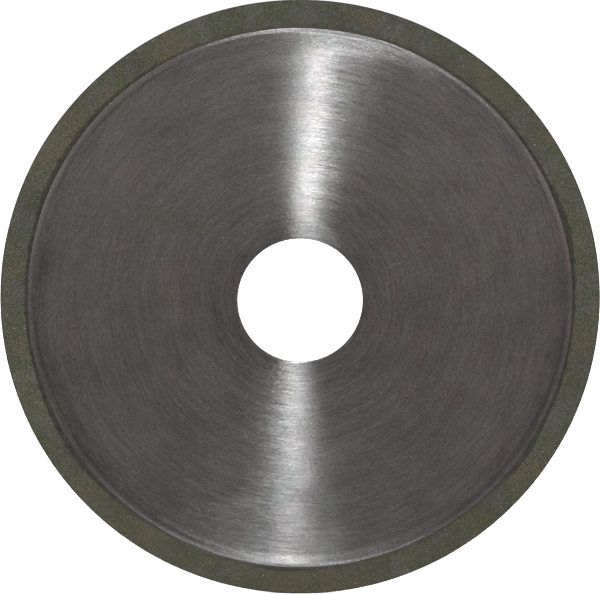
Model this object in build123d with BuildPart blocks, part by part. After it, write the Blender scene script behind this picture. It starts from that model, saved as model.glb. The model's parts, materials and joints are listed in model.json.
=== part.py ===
"""Resin-bond diamond grinding wheel: a ground steel core with an abrasive ring moulded onto its edge.

Millimetres. The origin is the centre of the arbor bore on the wheel's mid-plane. The wheel spins about Y,
its front face looks along -Y, and Z is up. Every profile is drawn in the XY plane, with X as the radius and
Y as the distance from the mid-plane, and is revolved about Y.
"""

from build123d import *
import os

INCH = 25.4

# Driving dimensions.
wheel_diameter = 6 * INCH
bore_diameter = 1.25 * INCH
rim_thickness = INCH / 16
core_thickness = 0.05 * INCH  # thinner than the rim, so that only the abrasive rubs in a cut
abrasive_depth = 6.0  # radial depth of the abrasive on the face
bond_depth = 0.6  # radial width of the bond layer that shows between abrasive and steel

# The hidden key between core and ring: a thin tongue round the core, cut by dovetail slots that the bond fills.
tongue_thickness = 0.5
tongue_depth = 1.3
slot_count = 48
slot_base_width = 1.6
slot_base_gap = 0.3  # tongue left whole between the core's shoulder and the slots
slot_side_angle = 75
ridge_depth = 1.9  # how far the bond's ridge reaches into the abrasive at mid-thickness, past the core's edge
ridge_thickness = 0.4

# Edge finishes.
bore_chamfer = 0.1
corner_radius = 0.12

wheel_radius = wheel_diameter / 2
bore_radius = bore_diameter / 2
abrasive_radius = wheel_radius - abrasive_depth
core_radius = abrasive_radius - bond_depth
tongue_radius = core_radius + tongue_depth
ridge_radius = core_radius + ridge_depth
rim_half = rim_thickness / 2
core_half = core_thickness / 2
tongue_half = tongue_thickness / 2
ridge_half = ridge_thickness / 2
slot_base_radius = core_radius + slot_base_gap
slot_length = 2 * (tongue_radius - slot_base_radius)  # twice the depth cut, so each slot is open outwards

os.makedirs("parts", exist_ok=True)

# Steel core: a flat annulus with a deburred bore, stepped down to the slotted tongue at its edge.
with BuildPart() as core_disc:
    with BuildSketch(Plane.XY):
        with BuildLine():
            Polyline(
                (bore_radius, 0),
                (bore_radius, core_half),
                (core_radius, core_half),
                (core_radius, tongue_half),
                (tongue_radius, tongue_half),
                (tongue_radius, 0),
            )
            mirror(about=Plane.XZ)
        make_face()
    revolve(axis=Axis.Y)
    circles = core_disc.edges().filter_by(GeomType.CIRCLE).sort_by(SortBy.RADIUS)
    bore_edges = circles.filter_by(lambda edge: abs(edge.radius - bore_radius) < 0.01)
    chamfer(bore_edges, bore_chamfer)
    with BuildSketch(Plane.XZ):
        with PolarLocations(slot_base_radius + slot_length / 2, slot_count):
            Trapezoid(slot_base_width, slot_length, slot_side_angle, rotation=-90)
    extrude(amount=tongue_thickness, both=True, mode=Mode.SUBTRACT)

# Bond layer: wraps the tongue, fills its slots, rises from the steel's face to the rim's and ends in a ridge.
with BuildPart() as bond_ring:
    with BuildSketch(Plane.XY):
        with BuildLine():
            Polyline(
                (core_radius, 0),
                (core_radius, core_half),
                (abrasive_radius, rim_half),
                (ridge_radius, ridge_half),
                (ridge_radius, 0),
            )
            mirror(about=Plane.XZ)
        make_face()
    revolve(axis=Axis.Y)
    add(core_disc.part, mode=Mode.SUBTRACT)

# Abrasive rim: the ring that grinds, moulded over the bond's ridge, with its outer corners just broken.
with BuildPart() as abrasive_rim:
    with BuildSketch(Plane.XY):
        with BuildLine():
            Polyline(
                (ridge_radius, 0),
                (ridge_radius, ridge_half),
                (abrasive_radius, rim_half),
                (wheel_radius, rim_half),
                (wheel_radius, 0),
            )
            mirror(about=Plane.XZ)
        make_face()
    revolve(axis=Axis.Y)
    rim_circles = abrasive_rim.edges().filter_by(GeomType.CIRCLE)
    corners = rim_circles.filter_by(lambda edge: abs(edge.radius - wheel_radius) < 0.01)
    fillet(corners, corner_radius)

core_disc.part.label = "core_disc"
export_step(core_disc.part, "parts/core_disc.step")

bond_ring.part.label = "bond_ring"
export_step(bond_ring.part, "parts/bond_ring.step")

abrasive_rim.part.label = "abrasive_rim"
export_step(abrasive_rim.part, "parts/abrasive_rim.step")
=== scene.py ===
"""The looks of a resin-bond diamond grinding wheel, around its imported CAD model.

Metres. The wheel stands upright: it spins about Y, its front face looks along -Y, and Z is up.
Angles round the wheel are measured from +X towards +Z. Each visible piece but the grains is a ring,
turned about Y from a closed profile of (radius, y) points, finer than the CAD tessellation and with
the edge shapes that show on the real wheel.
"""

import bpy
import json
import math
import random
from mathutils import Matrix, Vector


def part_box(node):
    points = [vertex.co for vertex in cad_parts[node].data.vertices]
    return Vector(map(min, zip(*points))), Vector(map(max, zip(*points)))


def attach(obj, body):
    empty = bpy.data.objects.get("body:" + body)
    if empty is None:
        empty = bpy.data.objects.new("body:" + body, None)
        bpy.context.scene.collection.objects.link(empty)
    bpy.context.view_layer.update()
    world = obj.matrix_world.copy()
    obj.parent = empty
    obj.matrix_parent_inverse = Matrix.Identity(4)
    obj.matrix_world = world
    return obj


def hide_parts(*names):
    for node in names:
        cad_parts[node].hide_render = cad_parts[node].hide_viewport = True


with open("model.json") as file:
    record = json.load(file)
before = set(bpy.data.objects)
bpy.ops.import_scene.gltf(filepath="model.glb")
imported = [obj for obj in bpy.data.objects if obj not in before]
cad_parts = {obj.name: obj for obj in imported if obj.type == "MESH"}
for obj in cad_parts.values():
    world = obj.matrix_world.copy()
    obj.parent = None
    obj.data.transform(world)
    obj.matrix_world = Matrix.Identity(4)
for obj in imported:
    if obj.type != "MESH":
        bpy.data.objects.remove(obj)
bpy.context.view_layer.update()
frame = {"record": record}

MM = 0.001
FRONT, BACK = -1, 1

# Sizes from the frame.
WHEEL_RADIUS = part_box("abrasive_rim")[1].x
RIM_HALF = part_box("abrasive_rim")[1].y
CORE_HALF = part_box("core_disc")[1].y
TONGUE_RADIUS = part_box("core_disc")[1].x
RIDGE_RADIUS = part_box("bond_ring")[1].x
ARBOR_BORE = next(mount for mount in frame["record"]["mounts"] if mount["name"] == "arbor_bore")
BORE_RADIUS = ARBOR_BORE["dims"]["r_mm"] * MM

# Sizes that the CAD model has too, but that those boxes don't give.
TONGUE_DEPTH = 1.3 * MM
TONGUE_HALF = 0.25 * MM
RIDGE_HALF = 0.2 * MM
BORE_CHAMFER = 0.1 * MM
CORE_RADIUS = TONGUE_RADIUS - TONGUE_DEPTH

SEGMENTS = 1080  # round the wheel, a third of a degree each
SHARP_EDGE = math.radians(28)  # edges that turn by more are shaded sharp


# ---------------------------------------------------------------- mesh helpers

def on_wheel(radius, y, angle):
    return (radius * math.cos(angle), y, radius * math.sin(angle))


def finish_piece(name, mesh, material, node):
    """Links a mesh as a piece on the root body, standing for a CAD node if one is named."""
    mesh.materials.append(material)
    mesh.shade_smooth()
    mesh.set_sharp_from_angle(angle=SHARP_EDGE)
    piece = bpy.data.objects.new(name, mesh)
    bpy.context.scene.collection.objects.link(piece)
    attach(piece, "root")
    if node:
        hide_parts(node)


def turned_mesh(name, profile, facts):
    """A closed ring: profile(angle) gives its closed outline there as (radius, y) points, always as many.

    facts(radius, y, angle) gives a dict of numbers that the material reads as vertex attributes."""
    verts, faces = [], []
    values = {}
    for i in range(SEGMENTS):
        angle = 2 * math.pi * i / SEGMENTS
        outline = profile(angle)
        for radius, y in outline:
            verts.append(on_wheel(radius, y, angle))
            for key, value in facts(radius, y, angle).items():
                values.setdefault(key, []).append(value)
    count = len(outline)
    for i in range(SEGMENTS):
        here, there = i * count, (i + 1) % SEGMENTS * count
        for j in range(count):
            k = (j + 1) % count
            faces.append((here + j, here + k, there + k, there + j))
    mesh = bpy.data.meshes.new(name)
    mesh.from_pydata(verts, [], faces)
    for key, numbers in values.items():
        mesh.attributes.new(key, "FLOAT", "POINT").data.foreach_set("value", numbers)
    mesh.validate()
    return mesh


def both_faces(back_half, front_half):
    """A closed outline from its halves, both given at y > 0, in the same order. The front's is mirrored."""
    return back_half + [(radius, -y) for radius, y in reversed(front_half)]


def spaced(start, end, count):
    """count values from start to end, without end."""
    return [start + (end - start) * i / count for i in range(count)]


def bump(angle, centre_deg, width_deg):
    """1 at the centre, falling smoothly on both sides, to 0.37 at the width."""
    off = (math.degrees(angle) - centre_deg + 180) % 360 - 180
    return math.exp(-((off / width_deg) ** 2))


# ---------------------------------------------------------------- core

# The face lifts a little towards its edge, has a shallow groove there, and ends in a rounded, burnished lip.
# It stays below the abrasive's face all round. Starts, ends and centres are distances in from its edge.
LIFT = 0.11 * MM
LIFT_START = 4.2 * MM
LIFT_END = 2.3 * MM
TOP_LIFT = -0.09 * MM  # change in the lift round the top
LOW_LIFT = 0.035 * MM  # and round the bottom
LOW_START_SHIFT = 0.8 * MM  # how much nearer the edge the lift starts round the bottom
LOW_END_SHIFT = 1.0 * MM  # and how much nearer the edge it ends there
GROOVE_CENTRE = 1.7 * MM
GROOVE_HALF_WIDTH = 0.26 * MM
GROOVE_DEPTH = 0.014 * MM
LIP_WIDTH = 0.5 * MM
LIP_DROP = 0.15 * MM
FINE_RINGS_START = 0.9 * MM  # where the rings of points get closer towards the lip
BORE_RINGS_START = 0.6 * MM  # the first ring of points, out from the bore's chamfer


def smooth_step(value, low, high):
    """0 at low and below, 1 at high and above, with a smooth rise between."""
    t = min(max((value - low) / (high - low), 0.0), 1.0)
    return t * t * (3 - 2 * t)


def core_edge(angle):
    """Radius at which the steel stops showing. The bond layer laps over it, more above +X and at -X."""
    lap = 0.18 * MM
    lap += 0.40 * MM * bump(angle, 60, 56) + 0.15 * MM * bump(angle, 172, 18)
    lap += 0.02 * MM * math.sin(17 * angle + 2)
    return CORE_RADIUS - lap


def face_height(inset, angle):
    """The steel face's distance from the mid-plane, that far in from the steel's edge."""
    near_top = bump(angle, 88, 40)
    near_bottom = bump(angle, -90, 36)
    lift = LIFT + TOP_LIFT * near_top + LOW_LIFT * near_bottom
    start = LIFT_START - LOW_START_SHIFT * near_bottom
    end = LIFT_END - LOW_END_SHIFT * near_bottom
    groove = GROOVE_DEPTH * (1 - 0.6 * near_top - 0.9 * near_bottom)
    drop = LIP_DROP * (1 - 0.93 * bump(angle, 84, 26))
    height = CORE_HALF + lift * smooth_step(-inset, -start, -end)
    height -= groove * math.exp(-(((inset - GROOVE_CENTRE) / GROOVE_HALF_WIDTH) ** 2))
    height -= drop * max(0.0, 1 - inset / LIP_WIDTH) ** 4
    return height


def core_outline(angle):
    """Ground plate with a chamfered bore, a groove inside its burnished edge, and the hidden tongue."""
    edge = core_edge(angle)
    chamfer_outer = BORE_RADIUS + BORE_CHAMFER
    flat = spaced(chamfer_outer + BORE_RINGS_START, edge - LIFT_START, 7)
    insets = spaced(LIFT_START, LIFT_END, 7) + spaced(LIFT_END, FINE_RINGS_START, 9)
    insets += spaced(FINE_RINGS_START, 0.0, 8) + [0.0]
    half = [
        (BORE_RADIUS, 0.0),
        (BORE_RADIUS, CORE_HALF - BORE_CHAMFER),
        (chamfer_outer - 0.02 * MM, CORE_HALF - 0.015 * MM),
        (chamfer_outer + 0.03 * MM, CORE_HALF),
        *[(radius, CORE_HALF) for radius in flat],
        *[(edge - inset, face_height(inset, angle)) for inset in insets],
        (edge, TONGUE_HALF),
        (TONGUE_RADIUS, TONGUE_HALF),
    ]
    return both_faces(half, half)


def core_facts(radius, y, angle):
    """How far a point of the core is in from the steel's edge, in millimetres."""
    return {"from_edge": (core_edge(angle) - radius) / MM}


# ---------------------------------------------------------------- bond and abrasive

# Where the dark bond layer shows wider: (angle and half-width in degrees, extra width in mm).
WIDE_STRETCHES = [
    (16, 9.5, 1.05),
    (-19, 11, 0.22),
    (-36, 8, 0.90),
    (-94, 7, 0.62),
    (-145, 14, 0.85),
    (-175, 20, 0.32),
    (150, 14, 0.85),
    (130, 16, 0.35),
]

# Where the layer is paler and hardly shows, its painted shade weaker: (angle, half-width), in degrees.
PALE_STRETCHES = [(-61, 18), (-111, 10), (90, 34)]

BOND_LEAST_WIDTH = 0.05 * MM
BOND_USUAL_WIDTH = 0.12 * MM
BACK_TURN = 1.9  # radians by which the stretches are turned on the back face
JOIN_SINK = 0.012 * MM  # how far the line between bond and abrasive lies below the rim's face
JOIN_WIDTH = 0.12 * MM  # over which the abrasive rises from that line to the rim's face
CORNER_WEAR = 0.10 * MM


def band_turn(angle, side):
    """The angle that sets how the layer shows, so that the two faces aren't alike."""
    return angle if side == FRONT else BACK_TURN - angle


def band_edge(angle, side):
    """Radius of the bond layer's outer edge on a face. Its width is uneven."""
    turn = band_turn(angle, side)
    width = BOND_USUAL_WIDTH
    width += sum(extra * bump(turn, centre, spread) for centre, spread, extra in WIDE_STRETCHES) * MM
    width += 0.06 * MM * math.sin(9 * turn + 0.7) + 0.05 * MM * math.sin(23 * turn + 2.1)
    width += 0.03 * MM * math.sin(57 * turn + 4.0) + 0.02 * MM * math.sin(131 * turn)
    return CORE_RADIUS + max(width, BOND_LEAST_WIDTH)


def bond_outline(angle):
    """Bond layer: round the core's tongue, sloping up to the rim's face, with a ridge into the abrasive."""
    inner = core_edge(angle)

    def half(side):
        edge = band_edge(angle, side)
        return [
            (TONGUE_RADIUS, TONGUE_HALF),
            (inner, TONGUE_HALF),
            (inner, CORE_HALF - 0.05 * MM),
            (inner + 0.10 * MM, CORE_HALF - 0.02 * MM),
            (inner + 0.3 * (edge - inner) + 0.07 * MM, RIM_HALF - 0.09 * MM),
            (inner + 0.75 * (edge - inner), RIM_HALF - 0.03 * MM),
            (edge, RIM_HALF - JOIN_SINK),
            (RIDGE_RADIUS, RIDGE_HALF),
        ]
    return both_faces(half(BACK), half(FRONT))


def bond_facts(radius, y, angle):
    """How pale the bond layer is there, from 0 to 1."""
    turn = band_turn(angle, FRONT if y < 0 else BACK)
    return {"pale": min(1.0, sum(bump(turn, centre, spread) for centre, spread in PALE_STRETCHES))}


def abrasive_outline(angle):
    """Abrasive ring: flat faces, a straight periphery and slightly worn outer corners."""
    wear = CORNER_WEAR + 0.03 * MM * math.sin(31 * angle) + 0.02 * MM * math.sin(97 * angle + 1)
    face_end = WHEEL_RADIUS - 1.6 * wear

    def half(side):
        edge = band_edge(angle, side)
        return [
            (RIDGE_RADIUS, RIDGE_HALF),
            (edge, RIM_HALF - JOIN_SINK),
            *[(radius, RIM_HALF) for radius in spaced(edge + JOIN_WIDTH, face_end, 10)],
            (face_end, RIM_HALF),
            (WHEEL_RADIUS - 0.7 * wear, RIM_HALF - 0.18 * wear),
            (WHEEL_RADIUS - 0.2 * wear, RIM_HALF - 0.7 * wear),
            (WHEEL_RADIUS, RIM_HALF - 1.6 * wear),
        ]
    return both_faces(half(BACK), half(FRONT))


def ring_facts(radius, y, angle):
    """How far a point of the ring is from the bond layer's edge and from the periphery, in millimetres."""
    edge = band_edge(angle, FRONT if y < 0 else BACK)
    return {"from_bond": (radius - edge) / MM, "from_outside": (WHEEL_RADIUS - radius) / MM}


# ---------------------------------------------------------------- grains

GRAIN_COUNT = 14000
GRAIN_SEED = 11
GRAIN_RADII = (0.05, 0.10)  # least and largest, in mm
LARGE_SHARE = 0.015  # of the grains, larger than the rest
LARGE_SCALE = 1.9
PERIPHERY_SHARE = 0.22  # of the grains, on the periphery
FACE_MARGINS = (0.15 * MM, 0.2 * MM)  # kept clear on a face beside the bond layer and beside the corner

OCTAHEDRON_CORNERS = [(1, 0, 0), (-1, 0, 0), (0, 1, 0), (0, -1, 0), (0, 0, 1), (0, 0, -1)]
OCTAHEDRON_FACES = [
    (0, 2, 4), (2, 1, 4), (1, 3, 4), (3, 0, 4),
    (2, 0, 5), (1, 2, 5), (3, 1, 5), (0, 3, 5),
]


def grain_place(draw, angle):
    """A random point of the ring's surface at that angle, and the direction straight out of the surface."""
    if draw.random() < PERIPHERY_SHARE:
        place = Vector(on_wheel(WHEEL_RADIUS, draw.uniform(-0.85, 0.85) * RIM_HALF, angle))
        return place, Vector(on_wheel(1, 0, angle))
    side = draw.choice((FRONT, BACK))
    inner = band_edge(angle, side) + FACE_MARGINS[0]
    outer = WHEEL_RADIUS - FACE_MARGINS[1]
    radius = math.sqrt(draw.uniform(inner ** 2, outer ** 2))
    return Vector(on_wheel(radius, side * RIM_HALF, angle)), Vector((0, side, 0))


def grains_mesh():
    """Diamond grains: small uneven octahedra, half sunk into the ring's faces and periphery."""
    draw = random.Random(GRAIN_SEED)
    verts, faces = [], []
    for _ in range(GRAIN_COUNT):
        angle = draw.uniform(0, 2 * math.pi)
        size = draw.uniform(*GRAIN_RADII) * MM * (LARGE_SCALE if draw.random() < LARGE_SHARE else 1)
        place, outward = grain_place(draw, angle)
        place -= outward * size * draw.uniform(0.35, 0.75)
        spin = Matrix.Rotation(draw.uniform(0, 2 * math.pi), 3, "Z")
        spin = spin @ Matrix.Rotation(draw.uniform(0, math.pi), 3, "X")
        spin = spin @ Matrix.Rotation(draw.uniform(0, 2 * math.pi), 3, "Y")
        first = len(verts)
        for corner in OCTAHEDRON_CORNERS:
            stretch = size * draw.uniform(0.75, 1.2)
            verts.append(place + spin @ Vector(corner) * stretch)
        faces += [(first + a, first + b, first + c) for a, b, c in OCTAHEDRON_FACES]
    mesh = bpy.data.meshes.new("diamond_grains")
    mesh.from_pydata(verts, [], faces)
    mesh.validate()
    return mesh


# ---------------------------------------------------------------- material helpers

class Nodes:
    """Short names for building one node tree."""

    def __init__(self, tree):
        self.tree = tree

    def add(self, kind, **values):
        node = self.tree.nodes.new(kind)
        for key, value in values.items():
            setattr(node, key, value)
        return node

    def feed(self, socket, value):
        """Links a socket's output into it, or sets a plain value."""
        if isinstance(value, bpy.types.NodeSocket):
            self.tree.links.new(value, socket)
        else:
            socket.default_value = value

    def math(self, operation, first, second=0.0, third=0.0, clamp=False):
        node = self.add("ShaderNodeMath", operation=operation, use_clamp=clamp)
        for socket, value in zip(node.inputs, (first, second, third)):
            self.feed(socket, value)
        return node.outputs[0]

    def vector(self, operation, first, second=(0, 0, 0)):
        node = self.add("ShaderNodeVectorMath", operation=operation)
        self.feed(node.inputs[0], first)
        self.feed(node.inputs["Scale"] if operation == "SCALE" else node.inputs[1], second)
        return node.outputs["Value" if operation in ("LENGTH", "DOT_PRODUCT") else "Vector"]

    def combine(self, x, y, z):
        node = self.add("ShaderNodeCombineXYZ")
        for socket, value in zip(node.inputs, (x, y, z)):
            self.feed(socket, value)
        return node.outputs[0]

    def separate(self, value):
        node = self.add("ShaderNodeSeparateXYZ")
        self.feed(node.inputs[0], value)
        return node.outputs

    def noise(self, where, scale, detail=2.0, rough=0.5):
        """Perlin noise, about 0.5 in the middle."""
        node = self.add("ShaderNodeTexNoise", noise_dimensions="3D")
        for key, value in {"Vector": where, "Scale": scale, "Detail": detail, "Roughness": rough}.items():
            self.feed(node.inputs[key], value)
        return node.outputs["Fac"]

    def ramp(self, value, low, high, to_low=0.0, to_high=1.0, smooth=True):
        """value from low..high to to_low..to_high, held at the ends."""
        node = self.add("ShaderNodeMapRange", interpolation_type="SMOOTHSTEP" if smooth else "LINEAR")
        for socket, item in zip(node.inputs, (value, low, high, to_low, to_high)):
            self.feed(socket, item)
        return node.outputs[0]

    def mix(self, factor, first, second, blend="MIX", kind="Color"):
        """One colour over another, or one number over another if kind is Float."""
        data_type = {"Color": "RGBA", "Float": "FLOAT"}[kind]
        node = self.add("ShaderNodeMix", data_type=data_type, blend_type=blend)
        for key, value in (("Factor_Float", factor), (f"A_{kind}", first), (f"B_{kind}", second)):
            self.feed(next(socket for socket in node.inputs if socket.identifier == key), value)
        return next(socket for socket in node.outputs if socket.identifier == f"Result_{kind}")

    def vary(self, value, change, amount=1.0):
        """value made larger by the share change * amount."""
        return self.math("MULTIPLY", value, self.math("MULTIPLY_ADD", change, amount, 1.0))


class Surface(Nodes):
    """The node tree of one new material, with its shader's inputs."""

    def __init__(self, name):
        self.material = bpy.data.materials.new(name)
        self.material.use_nodes = True
        super().__init__(self.material.node_tree)
        self.inputs = self.tree.nodes["Principled BSDF"].inputs
        self.place = self.add("ShaderNodeTexCoord").outputs["Object"]
        self.x, self.y, self.z = self.separate(self.place)

    def set(self, **values):
        """Feeds the shader's inputs, named with _ for a space."""
        for key, value in values.items():
            self.feed(self.inputs[key.replace("_", " ")], value)

    def set_colour(self, colour, tone):
        """Feeds the base colour with a colour times a tone."""
        self.set(Base_Color=self.mix(1.0, colour, self.combine(tone, tone, tone), "MULTIPLY"))

    def set_bump(self, height, strength, distance):
        node = self.add("ShaderNodeBump")
        for key, value in {"Strength": strength, "Distance": distance, "Height": height}.items():
            self.feed(node.inputs[key], value)
        self.set(Normal=node.outputs[0])

    def attribute(self, name):
        return self.add("ShaderNodeAttribute", attribute_name=name).outputs["Fac"]

    def cloud(self, scale, detail=2.0, rough=0.5, shift=(0, 0, 0)):
        """Noise about 0.5 at the piece's own scale. The shift keeps clouds apart."""
        where = self.vector("ADD", self.place, shift) if any(shift) else self.place
        return self.noise(where, scale, detail, rough)


def rgb(red, green, blue):
    return (red, green, blue, 1.0)


# ---------------------------------------------------------------- ground steel

STEEL_WARM = rgb(0.507, 0.489, 0.476)
STEEL_COOL = rgb(0.494, 0.492, 0.478)
STEEL_RED = rgb(0.514, 0.468, 0.470)
STEEL_TAN = rgb(0.500, 0.485, 0.454)

FACE_SHIFT = 9000.0  # moves the scratches' noise on between the two faces, so that they aren't alike

# Light scratches and nicks on the front face: (start, end, half-width, how much lighter).
# Their ends are (x, z) points in mm.
MARKS = [
    ((20.4, 7.4), (23.2, 8.9), 0.22 * MM, 0.20),
    ((23.4, 8.9), (26.4, 10.2), 0.24 * MM, 0.34),
    ((-10.9, 65.6), (-10.7, 65.7), 0.30 * MM, 0.75),
    ((-9.6, 66.2), (-9.4, 66.2), 0.26 * MM, 0.5),
    ((-8.2, 66.0), (-8.0, 66.1), 0.30 * MM, 0.75),
    ((-39.9, 24.4), (-39.4, 25.2), 0.22 * MM, 0.35),
    ((-39.2, 25.3), (-38.5, 24.8), 0.22 * MM, 0.35),
    ((66.6, -1.4), (66.9, -4.4), 0.30 * MM, 0.22),
]


class GroundSteel(Surface):
    """Circularly ground steel: fine arcs, light stains, a burnished edge with a painted highlight, and a
    directional sheen.
    """

    def __init__(self):
        super().__init__("core_steel")
        self.across = self.combine(self.x, 0.0, self.z)
        self.radius = self.vector("LENGTH", self.across)
        self.outward = self.vector("SCALE", self.across, self.math("DIVIDE", 1.0, self.radius))
        self.outward_x, _, self.outward_z = self.separate(self.outward)

        self.hair = self.arcs(1.3 * MM, 0.11 * MM, detail=1.0)
        self.grain = self.arcs(0.55 * MM, 0.40 * MM, detail=1.0)
        self.streak = self.arcs(6.0 * MM, 0.36 * MM, detail=1.0)
        self.crossed = self.arcs(7.0 * MM, 0.36 * MM, detail=1.0, stray=7 * MM)
        self.band = self.arcs(22 * MM, 1.3 * MM, detail=2.0)
        self.fine = self.arcs(0.40 * MM, 0.025 * MM, detail=0.0)
        self.finer = self.arcs(0.35 * MM, 0.022 * MM, detail=0.0, stray=2 * MM)
        self.stain = self.math("SUBTRACT", self.cloud(75.0, 3.0, 0.6), 0.5)

        # Zones by the distance in from the steel's edge, which the attribute gives in millimetres.
        self.from_edge = self.attribute("from_edge")
        self.edge_zone = self.ramp(self.from_edge, 1.5, 7.5, 1.0, 0.0)
        self.lip_zone = self.ramp(self.from_edge, 0.5, 2.6, 1.0, 0.0)
        # Burnished lip: it sets the scratches' lean there and carries a painted highlight in the tone.
        self.burnish_and_highlight = self.ramp(self.from_edge, 0.65, 1.15, 1.0, 0.0)

        self.set_colour(self.colour(), self.tone())
        self.set(Metallic=1.0, Anisotropic=1.0, Roughness=self.roughness(), Tangent=self.tangent())
        self.set_bump(self.math("MULTIPLY_ADD", self.hair, 0.4, self.streak), 0.10, 0.004 * MM)

    def arcs(self, length, width, detail, stray=0.0):
        """Noise about 0, drawn out into arcs of about that length and width, round a centre off by stray."""
        round_centre = self.radius
        if stray:
            off_centre = self.vector("SUBTRACT", self.across, (stray, 0, stray * 0.6))
            round_centre = self.vector("LENGTH", off_centre)
        where = self.combine(
            self.math("DIVIDE", self.x, length),
            self.math("MULTIPLY_ADD", self.y, FACE_SHIFT, self.math("DIVIDE", round_centre, width)),
            self.math("DIVIDE", self.z, length),
        )
        return self.math("SUBTRACT", self.noise(where, 1.0, detail), 0.5)

    def between(self, value, rise, fall):
        """1 between two ramps of the value, each given as its (start, end), and 0 outside them."""
        return self.math("MULTIPLY", self.ramp(value, *rise, 0.0, 1.0), self.ramp(value, *fall, 1.0, 0.0))

    def colour(self):
        """Warm and cool greys with faint stains, redder towards +X."""
        tint = self.cloud(60.0, 2.0, 0.6, shift=(3, 7, 1))
        red = self.cloud(110.0, 2.0, 0.6, shift=(9, 2, 5))
        tan = self.cloud(130.0, 2.0, 0.6, shift=(6, 3, 8))
        colour = self.mix(self.ramp(tint, 0.40, 0.60), STEEL_WARM, STEEL_COOL)
        to_right = self.ramp(self.x, -60 * MM, 60 * MM, 0.45, 1.0)
        redness = self.math("MULTIPLY", self.ramp(red, 0.46, 0.66), to_right)
        colour = self.mix(redness, colour, STEEL_RED)
        return self.mix(self.ramp(tan, 0.50, 0.68, 0.0, 0.8), colour, STEEL_TAN)

    def tone(self):
        """How light the steel is: its scratches and stains, then what changes from place to place, with
        painted shading, shade and highlights among it.
        """
        z, from_edge = self.z, self.from_edge
        tone = 1.0
        for noise, amount in (
            (self.hair, 0.8),
            (self.grain, 0.95),
            (self.streak, self.ramp(z, -20 * MM, 0.0, 0.55, 0.38)),
            (self.crossed, 0.20),
            (self.band, 0.4),
            (self.stain, 0.6),
        ):
            tone = self.vary(tone, noise, amount)
        near_bore = self.ramp(self.radius, BORE_RADIUS, 40 * MM, 1.0, 0.0)
        tone = self.vary(tone, self.math("MULTIPLY", near_bore, self.streak), 0.45)
        tone = self.math("MULTIPLY", tone, self.ramp(self.radius, BORE_RADIUS, 28 * MM, 0.89, 1.0))
        # Painted shading: lighter towards the top and darker towards the bottom, then lighter again at the
        # very bottom, painted light on the sheen there.
        tone = self.math("MULTIPLY", tone, self.ramp(z, -60 * MM, 60 * MM, 0.955, 1.065))
        tone = self.math("MULTIPLY", tone, self.ramp(z, -68 * MM, -50 * MM, 1.12, 1.0))

        # The lip is painted lighter than the face: a painted highlight along the burnished edge, weaker
        # towards the top and on two stretches at +X.
        tone = self.vary(tone, self.lip_zone, 0.10)
        tone = self.vary(tone, self.burnish_and_highlight, self.ramp(z, 20 * MM, 60 * MM, 0.22, 0.04))
        dimmer_highlight = self.between(self.x, (6 * MM, 20 * MM), (36 * MM, 50 * MM))
        tone = self.vary(tone, self.math("MULTIPLY", self.burnish_and_highlight, dimmer_highlight), -0.17)

        # Inside it, a painted highlight lightens the lowest part, painted shade darkens the lower sides, and
        # painted shade lies in the groove.
        bottom_highlight = self.ramp(z, -68 * MM, -60 * MM, 0.30, 0.0)
        tone = self.vary(tone, self.between(from_edge, (1.0, 1.5), (2.8, 4.0)), bottom_highlight)
        # Painted shade: the lower sides darker, a few mm in from the steel's edge.
        sides = self.ramp(self.math("ABSOLUTE", self.outward_x), 0.42, 0.62)
        low_sides = self.math("MULTIPLY", self.ramp(z, 5 * MM, 22 * MM, 1.0, 0.0), sides)
        low_side_shade = self.math("MULTIPLY", low_sides, self.ramp(from_edge, 3.0, 6.5, 0.20, 0.0))
        tone = self.vary(tone, low_side_shade, -1.0)
        # Painted shade in the shallow groove, broken up by noise into separate stretches.
        groove = self.between(from_edge, (1.1, 1.7), (1.75, 2.5))
        groove_shade_noise = self.math("MULTIPLY_ADD", self.streak, 0.5, self.cloud(45.0, 1.0, 0.5, shift=(4, 8, 2)))
        groove_shade = self.math("MULTIPLY", groove, self.ramp(groove_shade_noise, 0.42, 0.62, 0.0, 0.30))
        tone = self.vary(tone, groove_shade, -1.0)
        return self.vary(tone, self.marks())

    def marks(self):
        """How much lighter the separate scratches and nicks make the front face."""
        marks = 0.0
        for start, end, width, strength in MARKS:
            marks = self.math("MULTIPLY_ADD", self.line(start, end, width), strength, marks)
        return self.math("MULTIPLY", marks, self.ramp(self.y, -CORE_HALF * 0.5, 0.0, 1.0, 0.0))

    def line(self, start, end, width):
        """1 on the line between two (x, z) points in mm, falling to 0 at the width's distance from it."""
        first = Vector((start[0], 0, start[1])) * MM
        span = Vector((end[0], 0, end[1])) * MM - first
        here = self.vector("SUBTRACT", self.across, first)
        along = self.vector("DOT_PRODUCT", here, span)
        share = self.math("MULTIPLY", along, 1 / span.length_squared, clamp=True)
        nearest = self.vector("SCALE", tuple(span), share)
        off_line = self.vector("LENGTH", self.vector("SUBTRACT", here, nearest))
        return self.ramp(off_line, 0.0, width, 1.0, 0.0)

    def roughness(self):
        rough = self.ramp(self.radius, 22 * MM, 60 * MM, 0.345, 0.272)
        for change, amount in ((self.streak, 0.05), (self.stain, 0.06), (self.lip_zone, 0.05)):
            rough = self.math("MULTIPLY_ADD", change, amount, rough)
        return rough

    def lean(self):
        """How far the scratches' sideways direction leans from straight outward, as a slope.

        They cross each other at small angles, larger near the bore, and this blurs the sheen's sides."""
        crossing = self.math("MULTIPLY_ADD", self.fine, 0.78, self.math("MULTIPLY", self.hair, 0.15))
        lean = self.math("MULTIPLY", crossing, self.math("DIVIDE", 17.0 * MM, self.radius))
        lean = self.math("MULTIPLY_ADD", self.streak, 0.08, lean)
        lean = self.math("ADD", lean, self.ramp(self.z, -45 * MM, -5 * MM, -0.03, 0.0))
        lean = self.math("ADD", lean, self.ramp(self.z, 35 * MM, 60 * MM, 0.0, 0.016))
        return self.math("MULTIPLY_ADD", self.math("MULTIPLY", self.burnish_and_highlight, self.finer), 2.0, lean)

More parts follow.
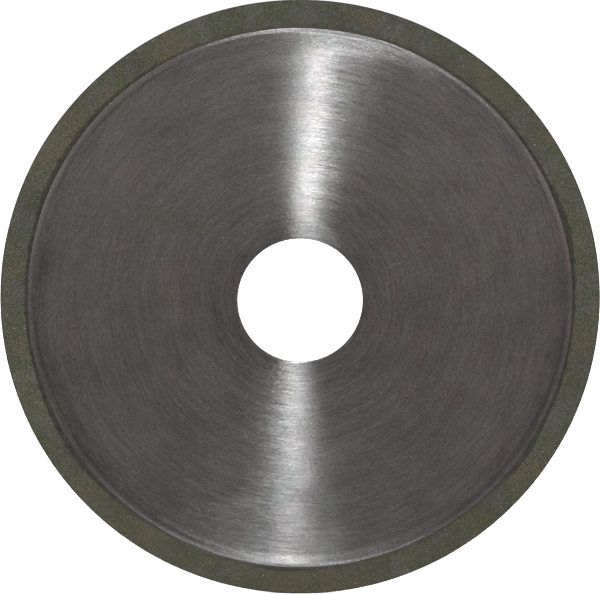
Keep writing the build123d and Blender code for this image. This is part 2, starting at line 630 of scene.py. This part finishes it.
    def fan(self):
        """More lean, all one way, near the edge, above the bore and at the bottom: the sheen fans out."""
        at_edge = self.ramp(self.finer, -0.04, 0.26, 0.0, 0.45, smooth=False)
        at_edge = self.math("MULTIPLY", self.edge_zone, at_edge)
        at_edge = self.math("MULTIPLY", at_edge, self.ramp(self.z, -40 * MM, 40 * MM, 0.15, 1.0))
        at_bore = self.ramp(self.finer, 0.07, 0.26, 0.0, 0.5)
        at_bore = self.math("MULTIPLY", self.ramp(self.radius, 17 * MM, 23 * MM, 1.0, 0.0), at_bore)
        at_bore = self.math("MULTIPLY", at_bore, self.ramp(self.z, 0.0, 15 * MM))
        at_bottom = self.ramp(self.finer, 0.10, 0.30, 0.0, 0.40)
        at_bottom = self.math("MULTIPLY", self.ramp(self.z, -58 * MM, -44 * MM, 1.0, 0.0), at_bottom)
        return self.math("ADD", self.math("ADD", at_bore, at_edge), at_bottom)

    def tangent(self):
        """The direction across the scratches, which the shader's anisotropy follows."""
        along = self.combine(self.math("MULTIPLY", self.outward_z, -1.0), 0.0, self.outward_x)
        leaning = self.vector("SCALE", along, self.math("ADD", self.lean(), self.fan()))
        turn = self.add(
            "ShaderNodeVectorTransform", vector_type="VECTOR", convert_from="OBJECT", convert_to="WORLD"
        )
        self.feed(turn.inputs[0], self.vector("ADD", self.outward, leaning))
        return turn.outputs[0]


# ---------------------------------------------------------------- other materials

OLIVE_DARK = rgb(0.0440, 0.0455, 0.0225)
OLIVE_PALE = rgb(0.0520, 0.0515, 0.0350)
OLIVE_BROWN = rgb(0.0560, 0.0465, 0.0245)
OLIVE_GREEN = rgb(0.0420, 0.0485, 0.0190)
# The bond layer's colours: near-black partly as the resin's own colour and partly as painted shade of the
# step by the rim.
RESIN_DARK = rgb(0.0170, 0.0165, 0.0085)
RESIN_BROWN = rgb(0.0300, 0.0270, 0.0165)
RESIN_PALE = rgb(0.0480, 0.0460, 0.0270)
GRAIN_DARK = rgb(0.03, 0.032, 0.018)
GRAIN_PALE = rgb(0.52, 0.53, 0.37)
DIAMOND_IOR = 2.0  # below clean diamond's 2.4, for facets dulled by resin


def abrasive_compound():
    """Olive resin full of fine grit: mottled and browner in places, with painted shading across it and
    painted shade by the bond and on the corner.
    """
    m = Surface("diamond_abrasive")
    grit = m.math("SUBTRACT", m.cloud(2600.0, 2.0, 0.6), 0.5)
    fine = m.math("SUBTRACT", m.cloud(7000.0, 1.0), 0.5)
    clump = m.math("SUBTRACT", m.cloud(850.0, 1.0), 0.5)
    patch = m.math("SUBTRACT", m.cloud(65.0, 2.0, shift=(1, 9, 4)), 0.5)
    mottle = m.cloud(170.0, 2.0, 0.6, shift=(2, 4, 6))
    brown = m.cloud(75.0, 2.0, 0.6, shift=(5, 1, 8))
    green = m.cloud(210.0, 1.0, 0.6, shift=(7, 6, 3))
    colour = m.mix(m.ramp(mottle, 0.36, 0.64), OLIVE_DARK, OLIVE_PALE)
    colour = m.mix(m.ramp(brown, 0.49, 0.63, 0.0, 0.9), colour, OLIVE_BROWN)
    colour = m.mix(m.ramp(green, 0.56, 0.72, 0.0, 0.8), colour, OLIVE_GREEN)
    tone = 1.0
    for noise, amount in ((grit, 3.0), (fine, 1.2), (clump, 0.6), (patch, 0.6)):
        tone = m.vary(tone, noise, amount)
    from_bond = m.math("MULTIPLY_ADD", clump, 1.2, m.attribute("from_bond"))
    for place in (
        # Painted shading: darker towards +X and towards the top, lighter towards the bottom.
        m.ramp(m.x, -70 * MM, 70 * MM, 1.01, 0.95),
        m.ramp(m.z, 50 * MM, 76 * MM, 1.0, 0.94),
        m.ramp(m.z, -74 * MM, -30 * MM, 1.05, 1.0),
        # Painted shade beside the bond layer, broken by the clumps, and painted shade on the outer corner.
        m.ramp(from_bond, -0.15, 0.55, 0.74, 1.0),
        m.ramp(m.attribute("from_outside"), 0.0, 0.45, 0.45, 1.0),
    ):
        tone = m.math("MULTIPLY", tone, place)
    m.set_colour(colour, tone)
    m.set(Roughness=m.ramp(grit, -0.2, 0.2, 0.55, 0.8))
    m.set_bump(m.math("MULTIPLY_ADD", fine, 0.35, grit), 0.45, 0.05 * MM)
    return m.material


def bond_resin():
    """Resin of the bond layer, near-black partly as dark resin and partly as painted shade of the step,
    paler where that shade is weaker, and smoother than the abrasive.
    """
    m = Surface("bond_resin")
    cloud = m.cloud(900.0, 3.0, 0.6)
    fine = m.cloud(6000.0, 2.0, 0.6)
    colour = m.mix(m.ramp(cloud, 0.35, 0.65), RESIN_DARK, RESIN_BROWN)
    colour = m.mix(m.math("MULTIPLY", m.attribute("pale"), 0.85), colour, RESIN_PALE)
    m.set_colour(colour, m.vary(1.0, m.math("SUBTRACT", fine, 0.5), 0.6))
    m.set(Roughness=m.ramp(fine, 0.3, 0.7, 0.50, 0.68))
    m.set_bump(fine, 0.4, 0.03 * MM)
    return m.material


def diamond_grain():
    """Pale yellow-green synthetic diamond, each grain a little different, with bright flat facets."""
    m = Surface("diamond_grain")
    grain = m.cloud(2500.0, 0.0)
    colour = m.mix(m.ramp(grain, 0.40, 0.64), GRAIN_DARK, GRAIN_PALE)
    m.set(Base_Color=colour, Roughness=m.ramp(grain, 0.3, 0.7, 0.26, 0.40), IOR=DIAMOND_IOR)
    return m.material


# ---------------------------------------------------------------- camera, stage and lights

VIEW_ELEVATION = math.radians(8.1)
VIEW_DISTANCE = 0.78
LENS_MM = 184.05
AIM = Vector((-0.02 * MM, 0, 0.88 * MM))

FLOOR_HALF = 9.0
FLOOR_GLOW = 0.62

# The world's strength, as the camera, matt surfaces and the steel see it.
WHITE_BACKGROUND = 1.2
SOFT_WHITE = 0.55
ROOM_FLOOR = 0.11
ROOM_WALLS = 0.245
WARM_SIDES = rgb(1.05, 0.93, 0.86)
COOL_LIGHT = (0.94, 0.97, 1.0)


def make_camera():
    data = bpy.data.cameras.new("camera")
    data.sensor_width = 36
    data.lens = LENS_MM
    data.clip_start = 0.01
    data.clip_end = 30
    camera = bpy.data.objects.new("camera", data)
    back = Vector((0, -math.cos(VIEW_ELEVATION), math.sin(VIEW_ELEVATION)))
    camera.location = AIM + back * VIEW_DISTANCE
    camera.rotation_euler = (-back).to_track_quat("-Z", "Y").to_euler()
    bpy.context.scene.collection.objects.link(camera)
    bpy.context.scene.camera = camera


def make_floor():
    """A wide table of lit white acrylic. The steel doesn't mirror it, as if flagged off in the studio."""
    mesh = bpy.data.meshes.new("floor")
    signs = [(-1, -1), (1, -1), (1, 1), (-1, 1)]
    corners = [(x * FLOOR_HALF, y * FLOOR_HALF, -WHEEL_RADIUS) for x, y in signs]
    mesh.from_pydata(corners, [], [(0, 1, 2, 3)])
    m = Surface("floor_acrylic")
    m.set(Base_Color=rgb(0.90, 0.90, 0.90), Roughness=0.9)
    m.set(Emission_Color=rgb(1.0, 1.0, 1.0), Emission_Strength=FLOOR_GLOW)
    mesh.materials.append(m.material)
    floor = bpy.data.objects.new("floor", mesh)
    bpy.context.scene.collection.objects.link(floor)
    floor.visible_glossy = False


def make_world():
    """White to the camera, soft white for matt surfaces, and a dim room with warm sides for the steel."""
    world = bpy.data.worlds.new("studio")
    bpy.context.scene.world = world
    world.use_nodes = True
    n = Nodes(world.node_tree)
    background = n.tree.nodes["Background"].inputs
    ray = n.add("ShaderNodeLightPath").outputs
    x, _, z = n.separate(n.add("ShaderNodeTexCoord").outputs["Generated"])
    room = n.ramp(z, -0.24, 0.0, ROOM_FLOOR, ROOM_WALLS, smooth=False)
    strength = n.mix(ray["Is Glossy Ray"], SOFT_WHITE, room, kind="Float")
    strength = n.mix(ray["Is Camera Ray"], strength, WHITE_BACKGROUND, kind="Float")
    sideways = n.ramp(n.math("ABSOLUTE", x), 0.05, 0.5, smooth=False)
    warmth = n.math("MULTIPLY", sideways, ray["Is Glossy Ray"])
    n.feed(background["Color"], n.mix(warmth, rgb(1, 1, 1), WARM_SIDES))
    n.feed(background["Strength"], strength)


def softbox(name, place, width, height, watts):
    """A slightly cool area light at place, facing the wheel's centre."""
    data = bpy.data.lights.new(name, "AREA")
    data.shape = "RECTANGLE"
    data.size = width
    data.size_y = height
    data.energy = watts
    data.color = COOL_LIGHT
    light = bpy.data.objects.new(name, data)
    light.location = place
    light.rotation_euler = (-Vector(place)).to_track_quat("-Z", "Y").to_euler()
    light.visible_camera = False
    bpy.context.scene.collection.objects.link(light)


def make_lights():
    """A strip in front and one behind, each drawing the sheen's two streaks on its face, and a weak fill."""
    softbox("key", (0.070, -0.75, 0.95), width=0.055, height=0.5, watts=9.3)
    softbox("side_fill", (0.125, -0.46, 0.60), width=0.075, height=0.25, watts=0.32)
    softbox("back_key", (-0.075, 0.75, 0.95), width=0.07, height=0.5, watts=8.0)


# ---------------------------------------------------------------- assembly

make_camera()
make_world()
make_floor()
make_lights()

core_mesh = turned_mesh("core_plate", core_outline, core_facts)
finish_piece("core_plate", core_mesh, GroundSteel().material, "core_disc")

bond_mesh = turned_mesh("bond_band", bond_outline, bond_facts)
finish_piece("bond_band", bond_mesh, bond_resin(), "bond_ring")

ring_mesh = turned_mesh("abrasive_ring", abrasive_outline, ring_facts)
finish_piece("abrasive_ring", ring_mesh, abrasive_compound(), "abrasive_rim")

finish_piece("diamond_grains", grains_mesh(), diamond_grain(), None)

bpy.context.scene.view_settings.view_transform = "Standard"
